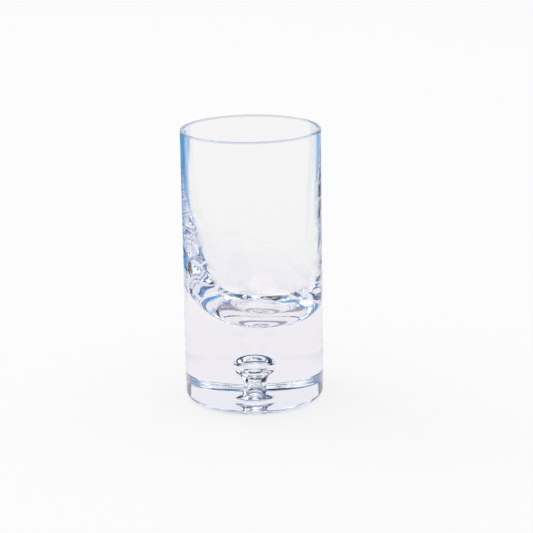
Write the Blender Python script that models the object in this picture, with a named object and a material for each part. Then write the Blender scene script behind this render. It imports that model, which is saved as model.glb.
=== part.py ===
"""Tall shot glass with a heavy base and one air bubble trapped in it.

Units are metres, +Z is up, and the origin is the centre of the underside, which is flat.
The glass is drawn as closed outlines of (radius, height) points that are swept once round
the vertical axis. The bowl leans slightly towards +X as it goes down, as it does in a
hand-finished glass, so each ring of points may have its own centre.
"""
import math

import bpy

# Driving dimensions
OUTER_DIAMETER = 0.0425
HEIGHT = 1.967 * OUTER_DIAMETER
SEGMENTS = 60
CLEARANCE = 0.0003

# Outside
FOOT_RADIUS = OUTER_DIAMETER / 2
RIM_RADIUS = 0.99 * FOOT_RADIUS
RIM_WALL = 0.001
CORNER_ROUND = 0.05 * OUTER_DIAMETER

# Bowl: a nearly straight wall, a cone from the shoulder down, and a wide, nearly flat floor
BOWL_FLOOR = 0.28 * HEIGHT
SHOULDER_HEIGHT = 0.478 * HEIGHT
SHOULDER_RADIUS = 0.79 * FOOT_RADIUS
SHOULDER_SLOPE = 0.165
WALL_HANDLE = 0.0191
CONE_HANDLE = 0.012
CORNER_HANDLE = 0.0115
FLOOR_HANDLE = 0.0109
LEAN = 0.0024
LEAN_START = 0.79 * HEIGHT
LEAN_END = 0.235 * HEIGHT

# Bubble: a slightly flattened ball on a straight neck, with a foot that flares out onto the closing layer
LAYER_THICKNESS = 0.0008
BALL_RADIUS = 0.0045
BALL_SQUASH = 0.84
BALL_HEIGHT = 0.0112
BALL_END_ANGLE = math.radians(-48)
NECK_RADIUS = 0.0024
NECK_TOP = 0.006
NECK_BOTTOM = 0.0024
NECK_HANDLE = 0.0004
THROAT_HANDLE = 0.0004
FOOT_FLARE = 0.0039
FLARE_HANDLE = (0.001, 0.0006)


def clear_scene():
    for item in list(bpy.data.objects):
        bpy.data.objects.remove(item, do_unlink=True)


def arc(centre_r, centre_z, radius, start, end, steps):
    """Points on a circle from one angle to another, both in radians."""
    angles = [start + (end - start) * step / steps for step in range(steps + 1)]
    return [(centre_r + radius * math.cos(a), centre_z + radius * math.sin(a)) for a in angles]


def bezier(start, start_handle, end_handle, end, steps):
    """Points on a cubic curve, without its first point."""
    points = []
    for step in range(1, steps + 1):
        t = step / steps
        weights = ((1 - t) ** 3, 3 * t * (1 - t) ** 2, 3 * t * t * (1 - t), t ** 3)
        corners = (start, start_handle, end_handle, end)
        points.append(tuple(sum(w * c[axis] for w, c in zip(weights, corners)) for axis in (0, 1)))
    return points


def lean(height):
    """Sideways shift of the bowl's centre at a height."""
    t = (LEAN_START - height) / (LEAN_START - LEAN_END)
    t = min(max(t, 0.0), 1.0)
    return LEAN * t * t * (3 - 2 * t)


def corner_radius_at(height):
    """Outer radius of the rounded bottom edge at a height."""
    drop = CORNER_ROUND - height
    return FOOT_RADIUS - CORNER_ROUND + math.sqrt(CORNER_ROUND ** 2 - drop ** 2)


def corner_outline(low, high, steps):
    """The rounded bottom edge between two heights, going up."""
    heights = [low + (high - low) * step / steps for step in range(steps + 1)]
    return [(corner_radius_at(height), height) for height in heights]


def rim_outline():
    """The fire-polished rim, from its outer side over the top to its inner side."""
    round_radius = RIM_WALL / 2
    return arc(RIM_RADIUS - round_radius, HEIGHT - round_radius, round_radius, 0, math.pi, 6)


def bowl_outline():
    """The inside of the glass, from below the rim down to the middle of the floor."""
    rim_inside = (RIM_RADIUS - RIM_WALL, HEIGHT - RIM_WALL / 2)
    shoulder = (SHOULDER_RADIUS, SHOULDER_HEIGHT)
    wall = bezier(
        rim_inside,
        (rim_inside[0], rim_inside[1] - WALL_HANDLE),
        (SHOULDER_RADIUS + SHOULDER_SLOPE * CONE_HANDLE, SHOULDER_HEIGHT + CONE_HANDLE),
        shoulder,
        8,
    )
    floor = bezier(
        shoulder,
        (SHOULDER_RADIUS - SHOULDER_SLOPE * CORNER_HANDLE, SHOULDER_HEIGHT - CORNER_HANDLE),
        (FLOOR_HANDLE, BOWL_FLOOR),
        (0.0, BOWL_FLOOR),
        10,
    )
    return wall + floor


def bubble_outline(low, inset):
    """The bubble from the foot's edge at a low height up to the top of the ball.

    inset moves the outline inwards, which makes a plug that fits in the well.
    """
    ball_radius = BALL_RADIUS - inset
    neck_radius = NECK_RADIUS - inset
    foot = (FOOT_FLARE - inset, low)
    round_ball = arc(0.0, 0.0, ball_radius, BALL_END_ANGLE, math.pi / 2, 10)
    ball = [(radius, BALL_HEIGHT + BALL_SQUASH * height) for radius, height in round_ball]
    ball[-1] = (0.0, BALL_HEIGHT + BALL_SQUASH * ball_radius)
    above_foot = (foot[0] - FLARE_HANDLE[0], low + FLARE_HANDLE[1])
    below_neck = (neck_radius, NECK_BOTTOM - NECK_HANDLE)
    above_neck = (neck_radius, NECK_TOP + NECK_HANDLE)
    below_ball = (
        ball[0][0] + THROAT_HANDLE * math.sin(BALL_END_ANGLE),
        ball[0][1] - THROAT_HANDLE * BALL_SQUASH * math.cos(BALL_END_ANGLE),
    )
    flare = bezier(foot, above_foot, below_neck, (neck_radius, NECK_BOTTOM), 4)
    throat = bezier((neck_radius, NECK_TOP), above_neck, below_ball, ball[0], 4)
    return [foot] + flare + [(neck_radius, NECK_TOP)] + throat + ball[1:]


def revolve(name, outline, leaning=()):
    """One closed solid swept from an outline whose first and last points are on the axis.

    The outline runs outwards along the underside first, so the faces point out. The points
    whose indexes are in leaning follow the bowl's lean.
    """
    vertices = []
    rings = []
    for index, (radius, height) in enumerate(outline):
        shift = lean(height) if index in leaning else 0.0
        count = 1 if radius == 0.0 else SEGMENTS
        rings.append(range(len(vertices), len(vertices) + count))
        for segment in range(count):
            angle = 2 * math.pi * segment / SEGMENTS
            vertices.append((radius * math.cos(angle) + shift, radius * math.sin(angle), height))
    faces = []
    for lower, upper in zip(rings, rings[1:]):
        for segment in range(SEGMENTS):
            following = (segment + 1) % SEGMENTS
            corners = [lower[segment % len(lower)], lower[following % len(lower)],
                       upper[following % len(upper)], upper[segment % len(upper)]]
            faces.append(list(dict.fromkeys(corners)))
    mesh = bpy.data.meshes.new(name)
    mesh.from_pydata(vertices, [], faces)
    mesh.shade_smooth()
    mesh.set_sharp_from_angle(angle=math.radians(35))
    piece = bpy.data.objects.new(name, mesh)
    bpy.context.scene.collection.objects.link(piece)
    return piece


def material(name, colour, roughness, transmission, ior):
    """A clear Principled material."""
    result = bpy.data.materials.new(name)
    result.use_nodes = True
    shader = result.node_tree.nodes["Principled BSDF"]
    shader.inputs["Base Color"].default_value = (*colour, 1.0)
    shader.inputs["Roughness"].default_value = roughness
    shader.inputs["Metallic"].default_value = 0.0
    shader.inputs["Transmission Weight"].default_value = transmission
    shader.inputs["IOR"].default_value = ior
    return result


def glass_body():
    """Bowl, wall and solid base, with the bubble's well open at the underside."""
    low = LAYER_THICKNESS + CLEARANCE
    well = bubble_outline(low, 0.0)
    outside = well[::-1] + corner_outline(low, CORNER_ROUND, 3) + rim_outline()
    inside = bowl_outline()
    leaning = range(len(outside), len(outside) + len(inside))
    piece = revolve("glass_body", outside + inside, leaning)
    piece.data.materials.append(material("clear_glass", (0.93, 0.94, 0.98), 0.02, 1.0, 1.52))
    return piece


def base_layer():
    """Thin layer under the base that closes the well and is polished flat below."""
    edge = corner_outline(0.0, LAYER_THICKNESS, 3)
    outline = [(0.0, 0.0)] + edge + [(0.0, LAYER_THICKNESS)]
    piece = revolve("base_layer", outline)
    piece.data.materials.append(material("polished_base", (0.93, 0.94, 0.98), 0.03, 1.0, 1.52))
    return piece


def air_bubble():
    """The air in the well, clear of the glass all round."""
    low = LAYER_THICKNESS + CLEARANCE
    outline = [(0.0, low)] + bubble_outline(low, CLEARANCE)
    piece = revolve("air_bubble", outline)
    piece.data.materials.append(material("trapped_air", (0.97, 0.98, 1.0), 0.0, 1.0, 1.0))
    return piece


clear_scene()
glass_body()
base_layer()
air_bubble()
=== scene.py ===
"""Looks for the shot glass: fine glass and bubble surfaces, their materials, floor, light and camera.

Everything is in metres in the CAD frame: +Z up, origin at the centre of the flat underside.
"""
import math

import bpy
from mathutils import Matrix, Vector, noise


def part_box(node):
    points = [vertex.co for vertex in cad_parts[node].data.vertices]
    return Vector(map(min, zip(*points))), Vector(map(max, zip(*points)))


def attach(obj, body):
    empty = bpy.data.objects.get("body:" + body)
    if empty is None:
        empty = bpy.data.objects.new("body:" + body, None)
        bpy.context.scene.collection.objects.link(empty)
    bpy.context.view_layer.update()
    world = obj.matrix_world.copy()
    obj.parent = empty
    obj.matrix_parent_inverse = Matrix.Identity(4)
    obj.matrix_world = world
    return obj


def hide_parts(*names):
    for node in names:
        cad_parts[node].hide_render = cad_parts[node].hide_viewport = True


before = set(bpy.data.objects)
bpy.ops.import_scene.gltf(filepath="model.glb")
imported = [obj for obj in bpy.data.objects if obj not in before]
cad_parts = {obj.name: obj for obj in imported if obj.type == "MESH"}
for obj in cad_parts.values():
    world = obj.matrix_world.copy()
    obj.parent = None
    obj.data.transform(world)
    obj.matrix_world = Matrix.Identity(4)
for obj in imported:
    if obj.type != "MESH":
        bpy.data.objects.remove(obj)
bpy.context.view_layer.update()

# Sizes taken from the frame
LOW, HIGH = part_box("glass_body")
DIAMETER = HIGH.x - LOW.x
HEIGHT = HIGH.z
LAYER_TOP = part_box("base_layer")[1].z
AIR_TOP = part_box("air_bubble")[1].z
AIR_CLEARANCE = 0.0003

# Outside of the glass
FOOT_RADIUS = DIAMETER / 2
RIM_RADIUS = 0.99 * FOOT_RADIUS
RIM_WALL = 0.001
CORNER_ROUND = 0.05 * DIAMETER

# Bowl: a nearly straight wall, a cone from the shoulder down, and a wide, nearly flat floor
BOWL_FLOOR = 0.28 * HEIGHT
SHOULDER_HEIGHT = 0.478 * HEIGHT
SHOULDER_RADIUS = 0.79 * FOOT_RADIUS
SHOULDER_SLOPE = 0.165
WALL_HANDLE = 0.0191
CONE_HANDLE = 0.012
CORNER_HANDLE = 0.0115
FLOOR_HANDLE = 0.0109
LEAN = 0.0024
LEAN_START = 0.79 * HEIGHT
LEAN_END = 0.235 * HEIGHT

# Bubble: a slightly flattened ball on a straight neck, with a foot that flares out onto the closing layer
BALL_RADIUS = 0.0045
BALL_SQUASH = 0.84
BALL_HEIGHT = AIR_TOP - BALL_SQUASH * (BALL_RADIUS - AIR_CLEARANCE)
BALL_END_ANGLE = math.radians(-48)
NECK_RADIUS = 0.0024
NECK_TOP = 0.006
NECK_BOTTOM = 0.0024
NECK_HANDLE = 0.0004
THROAT_HANDLE = 0.0004
FOOT_FLARE = 0.0039
FOOT_ROUND = 0.0003
FLARE_HANDLE = (0.001, 0.0006)

# Unevenness of the bowl's hand-finished wall: how far it stands off, and how wide each swell or ripple is
SWELL = 0.0002
SWELL_WIDTH = 0.011
SWELL_STRETCH = 0.6
RIPPLE = 0.00006
RIPPLE_WIDTH = 0.0052
RIPPLE_SLANT = 0.3
FINE_RIPPLE = 0.000012
FINE_RIPPLE_WIDTH = 0.0026
RIPPLE_TOP = 0.062
RIPPLE_FADE = 0.016
NOISE_ARM = 0.016
CALM_RADIUS = 0.006

# Unevenness of the bubble, as a share of its radius
WOBBLE = 0.02
WOBBLE_WIDTH = 0.004

# Offsets that give each noise its own pattern
SWELL_SEED = 3.0
RIPPLE_SEED = 9.0
FINE_RIPPLE_SEED = 15.0
WOBBLE_SEED = 5.0

# How finely the outlines and the turns are divided
UNDERSIDE_STEPS = 12
ROUND_STEPS = 14
WALL_STEPS = 60
BOWL_WALL_STEPS = 90
BOWL_FLOOR_STEPS = 80
FOOT_STEPS = 5
FLARE_STEPS = 16
NECK_STEPS = 4
BALL_STEPS = 44
GLASS_SEGMENTS = 360
BUBBLE_SEGMENTS = 160
ON_AXIS = 1e-9

# Glass finish, with painted shade and a painted sheen at the rim
WHITE = (1.0, 1.0, 1.0)
GLASS_IOR = 1.52
RIM_EDGE = (HEIGHT - 0.0008, HEIGHT - 0.0004)
# Painted shade: the rim's darker, bluish base colour
RIM_PAINTED_SHADE = (0.62, 0.70, 0.80)
RIM_ROUGHNESS = 0.06
# Painted sheen: a sheen layer that lightens the rim
RIM_PAINTED_SHEEN = 0.2
SHEEN_ROUGHNESS = 0.4
SOLE_EDGE = (0.0004, 0.0001)
SCUFF_SCALE = 900.0
SCUFF_LEVELS = (0.5, 0.68)
SCUFF_ROUGHNESS = 0.08
WAVE_SCALE = 140.0
WAVE_STRENGTH = 0.05
WAVE_DISTANCE = 0.0004
VOLUME_TINT = (0.87, 0.84, 0.9)
VOLUME_DENSITY = 5.0

# Bubble finish
AIR_WAVE_SCALE = 420.0
AIR_WAVE_STRENGTH = 0.06
AIR_WAVE_DISTANCE = 0.0002
SPECK_SCALE = 2600.0
SPECK_LEVELS = (0.66, 0.74)
SPECK_ROUGHNESS = 0.05

# What the glass bends into view: pale paper behind it, blue out to the sides, and a patchy, darker room above
# Painted shade: the paper near the glass is a little darker and lilac; SHADED_PAPER is the painted shadow
# under it
NEAR_PAPER_PAINTED_SHADE = (0.885, 0.868, 0.905)
FAR_PAPER = (0.912, 0.912, 0.915)
SHADED_PAPER = (0.36, 0.36, 0.46)
PALE = (0.86, 0.92, 0.985)
LILAC = (0.86, 0.845, 0.90)
BRIGHT = (1.5, 1.5, 1.5)
SKY_BLUE = (0.09, 0.34, 0.68)
MID_BLUE = (0.04, 0.20, 0.50)
DEEP_BLUE = (0.008, 0.07, 0.27)
NAVY = (0.002, 0.004, 0.02)
DUSTY_BLUE = (0.24, 0.44, 0.76)

# The floor as the glass shows it: distances in metres over which one area fades into the next
PAPER_EDGE = (0.07, 0.11)
RINGS_EDGE = (0.0185, 0.0165)
RING_RATE = 700.0
RING_LEVELS = (-0.2, 0.6)
EYE_EDGE = (0.0024, 0.0018)
STREAK_SCALE = 28.0
STREAK_LEVELS = (0.5, 0.62)
BEHIND_SPREAD = 0.85
BEHIND_EDGE = (-0.01, 0.02)
LEFT_EDGE = (-0.070, -0.083)
RIGHT_EDGE = (0.115, 0.135)

# Patches of the room: size of a patch, colours by noise level, and the bands of the sky that they fill
PATCH_TURN = 18.0
PATCH_HEIGHT = 0.09
PATCH_TONES = ((0.42, DEEP_BLUE), (0.46, MID_BLUE), (0.50, SKY_BLUE), (0.54, BRIGHT))
PATCH_TURNS = (-80, 80)
PATCH_TURN_EDGE = 5
PATCH_HEIGHT_EDGE = 0.015
LOW_PATCHES = (0.08, 0.235)
LOW_PATCH_SHARE = 0.9
HIGH_PATCHES = (0.39, 0.57)

# Screens and dark openings of the room: colour, turn to the side in degrees, sine of the elevation
ROOM = (
    (BRIGHT, (-190, -128), (0.50, 0.97)),
    (BRIGHT, (128, 190), (0.50, 0.97)),
    (SKY_BLUE, (-150, -90), (-0.10, 0.68)),
    (SKY_BLUE, (90, 150), (-0.10, 0.68)),
    (DEEP_BLUE, (-108, -40), (0.39, 0.84)),
    (DEEP_BLUE, (42, 115), (0.40, 0.84)),
    (NAVY, (-84, -44), (0.06, 0.24)),
    (NAVY, (44, 84), (0.06, 0.24)),
    (NAVY, (-84, -62), (0.22, 0.41)),
    (NAVY, (62, 84), (0.22, 0.41)),
    (NAVY, (-112, 112), (0.57, 0.76)),
    (MID_BLUE, (-50, -31), (0.38, 0.56)),
    (NAVY, (-30, -9), (0.43, 0.74)),
    (MID_BLUE, (9, 54), (0.46, 0.58)),
    (LILAC, (-60, 60), (0.25, 0.37)),
)
TURN_EDGE = 3
HEIGHT_EDGE = 0.02

# The dark room overhead, which fades out as the camera looks down more steeply
OVERHEAD_TURNS = (-112, 112)
OVERHEAD_HEIGHTS = (0.74, 0.94)
STEEP_TO_SHALLOW = (-0.6, -0.4)

# The floor as the camera sees it
PAPER_WHITE = (1.0, 0.998, 1.0, 1.0)
PAPER_GLOW = 0.735
PAPER_ALBEDO = 0.22
FLOOR_REACH = 10.0
FLOOR_DROP = 0.0001

# Light and camera; the camera's place is in glass diameters
SOFTBOX_PLACE = (-0.5, 0.35, 0.8)
SOFTBOX_SIZE = 0.5
SOFTBOX_ENERGY = 1.2
CAMERA_PLACE = (0.0986, -12.0035, 4.3927)
CAMERA_PITCH = 0.279
CAMERA_ROLL = 0.015
CAMERA_LENS = 117.73
SENSOR_WIDTH = 36.0
CLIP_START = 0.01
CLIP_END = 100.0
MOST_BOUNCES = 64


def arc(centre_r, centre_z, radius, start, end, steps):
    """Points on a circle from one angle to another, both in radians."""
    angles = [start + (end - start) * step / steps for step in range(steps + 1)]
    return [(centre_r + radius * math.cos(a), centre_z + radius * math.sin(a)) for a in angles]


def line(start, end, steps):
    """Evenly spaced points between two points, without its ends."""
    return [tuple(s + (e - s) * step / steps for s, e in zip(start, end)) for step in range(1, steps)]


def bezier(corners, steps):
    """Points on a cubic curve, without its first point."""
    points = []
    for step in range(1, steps + 1):
        t = step / steps
        weights = ((1 - t) ** 3, 3 * t * (1 - t) ** 2, 3 * t * t * (1 - t), t ** 3)
        points.append(tuple(sum(w * c[axis] for w, c in zip(weights, corners)) for axis in (0, 1)))
    return points


def lean(height):
    """Sideways shift of the bowl's centre at a height."""
    t = (LEAN_START - height) / (LEAN_START - LEAN_END)
    t = min(max(t, 0.0), 1.0)
    return LEAN * t * t * (3 - 2 * t)


def outside_outline():
    """Underside, rounded bottom edge, outer wall and rim, ending on the rim's inner side."""
    rim_round = RIM_WALL / 2
    flat_radius = FOOT_RADIUS - CORNER_ROUND
    underside = line((0.0, 0.0), (flat_radius, 0.0), UNDERSIDE_STEPS)
    corner = arc(flat_radius, CORNER_ROUND, CORNER_ROUND, -math.pi / 2, 0, ROUND_STEPS)
    wall = line((FOOT_RADIUS, CORNER_ROUND), (RIM_RADIUS, HEIGHT - rim_round), WALL_STEPS)
    rim = arc(RIM_RADIUS - rim_round, HEIGHT - rim_round, rim_round, 0, math.pi, ROUND_STEPS)
    return [(0.0, 0.0)] + underside + corner + wall + rim


def bowl_outline():
    """The inside of the glass, from below the rim down to the middle of the floor."""
    rim_inside = (RIM_RADIUS - RIM_WALL, HEIGHT - RIM_WALL / 2)
    shoulder = (SHOULDER_RADIUS, SHOULDER_HEIGHT)
    below_rim = (rim_inside[0], rim_inside[1] - WALL_HANDLE)
    above_shoulder = (SHOULDER_RADIUS + SHOULDER_SLOPE * CONE_HANDLE, SHOULDER_HEIGHT + CONE_HANDLE)
    below_shoulder = (SHOULDER_RADIUS - SHOULDER_SLOPE * CORNER_HANDLE, SHOULDER_HEIGHT - CORNER_HANDLE)
    middle = (0.0, BOWL_FLOOR)
    wall = bezier((rim_inside, below_rim, above_shoulder, shoulder), BOWL_WALL_STEPS)
    floor = bezier((shoulder, below_shoulder, (FLOOR_HANDLE, BOWL_FLOOR), middle), BOWL_FLOOR_STEPS)
    return wall + floor


def bubble_outline():
    """The closed void: flat foot on the closing layer, flare, neck and ball."""
    round_ball = arc(0.0, 0.0, BALL_RADIUS, BALL_END_ANGLE, math.pi / 2, BALL_STEPS)
    ball = [(radius, BALL_HEIGHT + BALL_SQUASH * height) for radius, height in round_ball]
    ball[-1] = (0.0, BALL_HEIGHT + BALL_SQUASH * BALL_RADIUS)
    neck_low = (NECK_RADIUS, NECK_BOTTOM)
    neck_high = (NECK_RADIUS, NECK_TOP)
    foot = (FOOT_FLARE, LAYER_TOP + FOOT_ROUND)
    edge = arc(FOOT_FLARE - FOOT_ROUND, LAYER_TOP + FOOT_ROUND, FOOT_ROUND, -math.pi / 2, 0, FOOT_STEPS)
    below_ball = (
        ball[0][0] + THROAT_HANDLE * math.sin(BALL_END_ANGLE),
        ball[0][1] - THROAT_HANDLE * BALL_SQUASH * math.cos(BALL_END_ANGLE),
    )
    above_foot = (foot[0] - FLARE_HANDLE[0], foot[1] + FLARE_HANDLE[1])
    below_neck = (NECK_RADIUS, NECK_BOTTOM - NECK_HANDLE)
    above_neck = (NECK_RADIUS, NECK_TOP + NECK_HANDLE)
    flare = bezier((foot, above_foot, below_neck, neck_low), FLARE_STEPS)
    neck = line(neck_low, neck_high, NECK_STEPS) + [neck_high]
    throat = bezier((neck_high, above_neck, below_ball, ball[0]), FLARE_STEPS)
    return [(0.0, LAYER_TOP)] + edge + flare + neck + throat + ball[1:]


def revolve(name, outline, segments, shape):
    """One closed surface swept from an outline; shape gives each point its final place."""
    vertices = []
    rings = []
    for index, (radius, height) in enumerate(outline):
        count = 1 if radius < ON_AXIS else segments
        rings.append(range(len(vertices), len(vertices) + count))
        for segment in range(count):
            vertices.append(shape(index, radius, height, 2 * math.pi * segment / segments))
    faces = []
    for lower, upper in zip(rings, rings[1:]):
        for segment in range(segments):
            following = (segment + 1) % segments
            corners = [lower[segment % len(lower)], lower[following % len(lower)],
                       upper[following % len(upper)], upper[segment % len(upper)]]
            faces.append(list(dict.fromkeys(corners)))
    mesh = bpy.data.meshes.new(name)
    mesh.from_pydata(vertices, [], faces)
    mesh.shade_smooth()
    piece = bpy.data.objects.new(name, mesh)
    bpy.context.scene.collection.objects.link(piece)
    return piece


def ripple(x, y, height, width, seed):
    """Smooth noise from -1 to 1 on the surface point, the same at each run."""
    return noise.noise(Vector((x / width, y / width, height / width + seed)))


def unevenness(x, y, height):
    """How far the hand-finished bowl stands off its smooth outline: slow swells and finer ripples."""
    depth = (HEIGHT - height) / (HEIGHT - BOWL_FLOOR)
    x, y = x * NOISE_ARM, y * NOISE_ARM
    swell = SWELL * depth * ripple(x, y, height * SWELL_STRETCH, SWELL_WIDTH, SWELL_SEED)
    rippled = min(max((RIPPLE_TOP - height) / RIPPLE_FADE, 0.0), 1.0)
    coarse = ripple(x, y, height + RIPPLE_SLANT * y, RIPPLE_WIDTH, RIPPLE_SEED)
    fine = ripple(x, y, height, FINE_RIPPLE_WIDTH, FINE_RIPPLE_SEED)
    return swell + rippled * (RIPPLE * coarse + FINE_RIPPLE * fine)


def build_glass():
    """The whole clear body as one fused surface, with a slightly uneven, hand-finished bowl."""
    outside = outside_outline()
    first_inside = len(outside)

    def shape(index, radius, height, angle):
        x, y = math.cos(angle), math.sin(angle)
        if index < first_inside:
            return radius * x, radius * y, height
        radius = radius + unevenness(x, y, height) * min(1.0, radius / CALM_RADIUS)
        return radius * x + lean(height), radius * y, height

    return revolve("glass", outside + bowl_outline(), GLASS_SEGMENTS, shape)


def build_bubble():
    """The trapped air's surface. Its faces point into the air, away from the glass."""
    def shape(index, radius, height, angle):
        x, y = math.cos(angle), math.sin(angle)
        pattern = ripple(x * WOBBLE_WIDTH, y * WOBBLE_WIDTH, height, WOBBLE_WIDTH, WOBBLE_SEED)
        wobble = 1 + WOBBLE * pattern
        return radius * x * wobble, radius * y * wobble, height

    piece = revolve("bubble", bubble_outline(), BUBBLE_SEGMENTS, shape)
    piece.data.flip_normals()
    return piece


class Nodes:
    """Small helper that adds linked shader nodes."""

    def __init__(self, tree):
        self.tree = tree
        tree.nodes.clear()

    def add(self, kind, inputs=None, **settings):
        node = self.tree.nodes.new(kind)
        for key, value in settings.items():
            setattr(node, key, value)
        for key, value in (inputs or {}).items():
            if isinstance(value, bpy.types.NodeSocket):
                self.tree.links.new(value, node.inputs[key])
            else:
                node.inputs[key].default_value = value
        return node

    def math(self, operation, first, second=0.0):
        return self.add("ShaderNodeMath", {0: first, 1: second}, operation=operation).outputs[0]

    def fade(self, value, start, end):
        """0 before start, 1 after end, smooth in between."""
        node = self.add("ShaderNodeMapRange", {0: value, 1: start, 2: end}, interpolation_type="SMOOTHSTEP")
        return node.outputs[0]

    def inside(self, value, limits, edge):
        """1 between two limits and 0 outside them, with soft edges."""
        low, high = limits
        return self.math("MULTIPLY", self.fade(value, low - edge, low + edge),
                         self.fade(value, high + edge, high - edge))

    def mix(self, factor, first, second):
        """A blend of two colours, each a tuple of three numbers or another node's output."""
        first, second = ((*tone, 1.0) if isinstance(tone, tuple) else tone for tone in (first, second))
        node = self.add("ShaderNodeMix", {0: factor, 6: first, 7: second}, data_type="RGBA")
        return node.outputs[2]

    def ramp(self, value, stops):
        """A smooth colour ramp over values from 0 to 1."""
        node = self.add("ShaderNodeValToRGB", {0: value})
        elements = node.color_ramp.elements
        while len(elements) < len(stops):
            elements.new(0.5)
        for element, (place, colour) in zip(elements, stops):
            element.position = place
            element.color = (*colour, 1.0)
        node.color_ramp.interpolation = "EASE"
        return node.outputs[0]

    def speckle(self, place, scale, detail):
        """Smooth random values around 0.5."""
        node = self.add("ShaderNodeTexNoise", {"Vector": place, "Scale": scale, "Detail": detail})
        return node.outputs[0]

    def bump(self, height, strength, distance):
        node = self.add("ShaderNodeBump", {"Strength": strength, "Distance": distance, "Height": height})
        return node.outputs[0]

    def in_camera(self, vector):
        """A world direction's three parts as the camera sees it: right, up and away."""
        turned = self.add("ShaderNodeVectorTransform", {0: vector}, vector_type="VECTOR",
                          convert_from="WORLD", convert_to="CAMERA")
        return self.add("ShaderNodeSeparateXYZ", {0: turned.outputs[0]}).outputs

    def camera_tilt(self):
        """0 for a level camera, down to -1 for one that looks straight down."""
        return self.in_camera((0.0, 0.0, 1.0))[2]

    def facing(self, vector):
        """How far a world vector's level part goes to the camera's right and away from it."""
        part = self.add("ShaderNodeSeparateXYZ", {0: vector}).outputs
        level = self.add("ShaderNodeCombineXYZ", {0: part[0], 1: part[1]}).outputs[0]
        seen = self.in_camera(level)
        tilt = self.camera_tilt()
        squeeze = self.math("SQRT", self.math("SUBTRACT", 1.0, self.math("MULTIPLY", tilt, tilt)))
        return seen[0], self.math("DIVIDE", seen[2], squeeze)


def glass_material():
    """Clear, very slightly lilac glass with a softer fire-polished rim and fine wear under the foot. The rim
    also gets painted shade, a darker bluish base colour, and a painted sheen that lightens it.
    """
    result = bpy.data.materials.new("clear_glass")
    result.use_nodes = True
    nodes = Nodes(result.node_tree)
    place = nodes.add("ShaderNodeTexCoord").outputs["Object"]
    height = nodes.add("ShaderNodeSeparateXYZ", {0: place}).outputs[2]
    rim = nodes.fade(height, *RIM_EDGE)
    sole = nodes.fade(height, *SOLE_EDGE)
    scuffs = nodes.fade(nodes.speckle(place, SCUFF_SCALE, 4.0), *SCUFF_LEVELS)
    wear = nodes.math("MULTIPLY", sole, scuffs)
    rough = nodes.math("ADD", nodes.math("MULTIPLY", rim, RIM_ROUGHNESS),
                       nodes.math("MULTIPLY", wear, SCUFF_ROUGHNESS))
    shader = nodes.add("ShaderNodeBsdfPrincipled", {
        # Painted shade at the rim: a darker bluish base colour
        "Base Color": nodes.mix(rim, WHITE, RIM_PAINTED_SHADE),
        "Roughness": rough,
        "IOR": GLASS_IOR,
        "Transmission Weight": 1.0,
        "Normal": nodes.bump(nodes.speckle(place, WAVE_SCALE, 2.0), WAVE_STRENGTH, WAVE_DISTANCE),
        # Painted sheen that lightens the rim
        "Sheen Weight": nodes.math("MULTIPLY", rim, RIM_PAINTED_SHEEN),
        "Sheen Roughness": SHEEN_ROUGHNESS,
    })
    tint = nodes.add("ShaderNodeVolumeAbsorption", {"Color": (*VOLUME_TINT, 1.0), "Density": VOLUME_DENSITY})
    nodes.add("ShaderNodeOutputMaterial", {"Surface": shader.outputs[0], "Volume": tint.outputs[0]})
    return result


def air_material():
    """The boundary between the glass and the trapped air, with a pricked bubble's faint waves and specks."""
    result = bpy.data.materials.new("trapped_air")
    result.use_nodes = True
    nodes = Nodes(result.node_tree)
    place = nodes.add("ShaderNodeTexCoord").outputs["Object"]
    waves = nodes.speckle(place, AIR_WAVE_SCALE, 2.0)
    specks = nodes.fade(nodes.speckle(place, SPECK_SCALE, 1.0), *SPECK_LEVELS)
    shader = nodes.add("ShaderNodeBsdfPrincipled", {
        "Base Color": (*WHITE, 1.0),
        "Roughness": nodes.math("MULTIPLY", specks, SPECK_ROUGHNESS),
        "IOR": GLASS_IOR,
        "Transmission Weight": 1.0,
        "Normal": nodes.bump(waves, AIR_WAVE_STRENGTH, AIR_WAVE_DISTANCE),
    })
    nodes.add("ShaderNodeOutputMaterial", {"Surface": shader.outputs[0]})
    return result


def plain_ray(nodes):
    """1 for rays straight from the camera and for light bouncing off the floor."""
    path = nodes.add("ShaderNodeLightPath")
    return nodes.math("MAXIMUM", path.outputs["Is Camera Ray"], path.outputs["Is Diffuse Ray"])


def floor_colours(nodes, place, sideways, forward):
    """The floor as the glass shows it: pale paper with painted shade near its foot and a painted shadow in
    rings under it, blue behind it on either side.
    """
    distance = nodes.math("SQRT", nodes.math("ADD", nodes.math("MULTIPLY", sideways, sideways),
                                             nodes.math("MULTIPLY", forward, forward)))
    # Painted contact shade: the paper is darker near the glass's foot
    paper = nodes.mix(nodes.fade(distance, *PAPER_EDGE), NEAR_PAPER_PAINTED_SHADE, FAR_PAPER)
    # Painted shadow under the glass, broken into rings
    rings = nodes.fade(nodes.math("SINE", nodes.math("MULTIPLY", distance, RING_RATE)), *RING_LEVELS)
    under = nodes.math("MULTIPLY", nodes.fade(distance, *RINGS_EDGE), rings)
    paper = nodes.mix(under, paper, SHADED_PAPER)
    paper = nodes.mix(nodes.fade(distance, *EYE_EDGE), paper, MID_BLUE)
    streaks = nodes.fade(nodes.speckle(place, STREAK_SCALE, 2.0), *STREAK_LEVELS)
    left_blue = nodes.mix(streaks, SKY_BLUE, MID_BLUE)
    spread = nodes.math("MULTIPLY", nodes.math("ABSOLUTE", sideways), BEHIND_SPREAD)
    behind = nodes.fade(nodes.math("SUBTRACT", forward, spread), *BEHIND_EDGE)
    left = nodes.math("MULTIPLY", behind, nodes.fade(sideways, *LEFT_EDGE))
    right = nodes.math("MULTIPLY", behind, nodes.fade(sideways, *RIGHT_EDGE))
    return nodes.mix(right, nodes.mix(left, paper, left_blue), DUSTY_BLUE)


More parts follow.
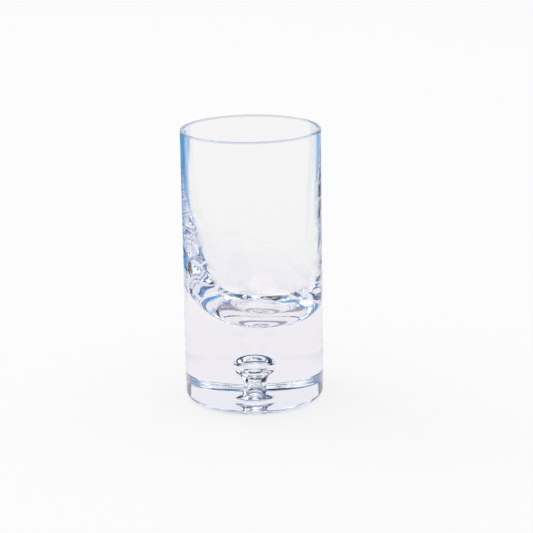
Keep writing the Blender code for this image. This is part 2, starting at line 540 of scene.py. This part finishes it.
def room_patches(nodes, height, turn):
    """Blue, white and navy patches that the thick, wavy wall of the bowl breaks up further."""
    cell = nodes.add("ShaderNodeCombineXYZ", {
        0: nodes.math("DIVIDE", turn, PATCH_TURN),
        1: nodes.math("DIVIDE", height, PATCH_HEIGHT),
    }).outputs[0]
    return nodes.ramp(nodes.speckle(cell, 1.0, 1.0), PATCH_TONES)


def zone(nodes, height, turn, heights, turns):
    """1 inside a block of the sky and 0 outside it, with soft edges."""
    across = nodes.inside(turn, turns, TURN_EDGE)
    return nodes.math("MULTIPLY", across, nodes.inside(height, heights, HEIGHT_EDGE))


def sky_colours(nodes, height, turn):
    """The studio as the glass shows it, by the sine of the elevation and the turn to the side in degrees."""
    low = nodes.math("MULTIPLY", nodes.inside(height, LOW_PATCHES, PATCH_HEIGHT_EDGE), LOW_PATCH_SHARE)
    high = nodes.inside(height, HIGH_PATCHES, PATCH_HEIGHT_EDGE)
    ahead = nodes.inside(turn, PATCH_TURNS, PATCH_TURN_EDGE)
    patchy = nodes.math("MULTIPLY", nodes.math("ADD", low, high), ahead)
    colour = nodes.mix(patchy, PALE, room_patches(nodes, height, turn))
    for tone, turns, heights in ROOM:
        colour = nodes.mix(zone(nodes, height, turn, heights, turns), colour, tone)
    shallow = nodes.fade(nodes.camera_tilt(), *STEEP_TO_SHALLOW)
    overhead = zone(nodes, height, turn, OVERHEAD_HEIGHTS, OVERHEAD_TURNS)
    return nodes.mix(nodes.math("MULTIPLY", shallow, overhead), colour, NAVY)


def floor_material():
    """Plain pale paper. Only rays bent or mirrored by the glass see the surround's colours on it."""
    result = bpy.data.materials.new("floor")
    result.use_nodes = True
    nodes = Nodes(result.node_tree)
    place = nodes.add("ShaderNodeNewGeometry").outputs["Position"]
    sideways, forward = nodes.facing(place)
    shade = nodes.add("ShaderNodeEmission", {"Color": floor_colours(nodes, place, sideways, forward)})
    paper = nodes.add("ShaderNodeEmission", {"Color": PAPER_WHITE, "Strength": PAPER_GLOW})
    matt = nodes.add("ShaderNodeBsdfDiffuse", {"Color": (PAPER_ALBEDO,) * 3 + (1.0,)})
    lit = nodes.add("ShaderNodeAddShader", {0: paper.outputs[0], 1: matt.outputs[0]})
    both = nodes.add("ShaderNodeMixShader", {0: plain_ray(nodes), 1: shade.outputs[0], 2: lit.outputs[0]})
    nodes.add("ShaderNodeOutputMaterial", {"Surface": both.outputs[0]})
    return result


def build_world():
    """An even white studio. Only rays that have been through the glass see the colours of the room."""
    world = bpy.data.worlds.new("studio")
    world.use_nodes = True
    nodes = Nodes(world.node_tree)
    way = nodes.add("ShaderNodeTexCoord").outputs["Generated"]
    height = nodes.add("ShaderNodeSeparateXYZ", {0: way}).outputs[2]
    sideways, forward = nodes.facing(way)
    turn = nodes.math("MULTIPLY", nodes.math("ARCTAN2", sideways, forward), 180 / math.pi)
    bent = sky_colours(nodes, height, turn)
    path = nodes.add("ShaderNodeLightPath")
    mirrored = nodes.math("LESS_THAN", path.outputs["Transmission Depth"], 0.5)
    plain = nodes.math("MAXIMUM", plain_ray(nodes), mirrored)
    sky = nodes.add("ShaderNodeBackground", {"Color": nodes.mix(plain, bent, WHITE), "Strength": 1.0})
    nodes.add("ShaderNodeOutputWorld", {"Surface": sky.outputs[0]})
    bpy.context.scene.world = world


def build_floor():
    """A wide square just under the glass's flat underside."""
    reach = FLOOR_REACH
    mesh = bpy.data.meshes.new("floor")
    corners = [(-reach, -reach, 0), (reach, -reach, 0), (reach, reach, 0), (-reach, reach, 0)]
    mesh.from_pydata(corners, [], [(0, 1, 2, 3)])
    floor = bpy.data.objects.new("floor", mesh)
    floor.location.z = -FLOOR_DROP
    mesh.materials.append(floor_material())
    bpy.context.scene.collection.objects.link(floor)


def build_light():
    """One soft round light, high up, to the left of the glass and behind it, aimed at its foot."""
    lamp = bpy.data.lights.new("softbox", "AREA")
    lamp.shape = "DISK"
    lamp.size = SOFTBOX_SIZE
    lamp.energy = SOFTBOX_ENERGY
    softbox = bpy.data.objects.new("softbox", lamp)
    softbox.location = SOFTBOX_PLACE
    softbox.rotation_euler = (-softbox.location).to_track_quat("-Z", "Y").to_euler()
    bpy.context.scene.collection.objects.link(softbox)


def build_camera():
    """A long lens looking down at the glass by 16 degrees."""
    look = Vector((0.0, math.cos(CAMERA_PITCH), -math.sin(CAMERA_PITCH)))
    up = Vector((0.0, math.sin(CAMERA_PITCH), math.cos(CAMERA_PITCH)))
    right = Vector((1.0, 0.0, 0.0))
    camera_x = right * math.cos(CAMERA_ROLL) - up * math.sin(CAMERA_ROLL)
    camera_y = right * math.sin(CAMERA_ROLL) + up * math.cos(CAMERA_ROLL)
    data = bpy.data.cameras.new("camera")
    data.sensor_width = SENSOR_WIDTH
    data.lens = CAMERA_LENS
    data.clip_start = CLIP_START
    data.clip_end = CLIP_END
    camera = bpy.data.objects.new("camera", data)
    bpy.context.scene.collection.objects.link(camera)
    matrix = Matrix((camera_x, camera_y, -look)).transposed().to_4x4()
    matrix.translation = Vector(CAMERA_PLACE) * DIAMETER
    camera.matrix_world = matrix
    bpy.context.scene.camera = camera


def set_view():
    """Plain colours, and enough bounces for light that is trapped in the thick glass."""
    scene = bpy.context.scene
    scene.view_settings.view_transform = "Standard"
    scene.cycles.max_bounces = MOST_BOUNCES
    scene.cycles.transmission_bounces = MOST_BOUNCES
    scene.cycles.glossy_bounces = MOST_BOUNCES


glass = build_glass()
glass.data.materials.append(glass_material())
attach(glass, "root")
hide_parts("glass_body", "base_layer")

bubble = build_bubble()
bubble.data.materials.append(air_material())
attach(bubble, "root")
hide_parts("air_bubble")

build_floor()
build_world()
build_light()
build_camera()
set_view()
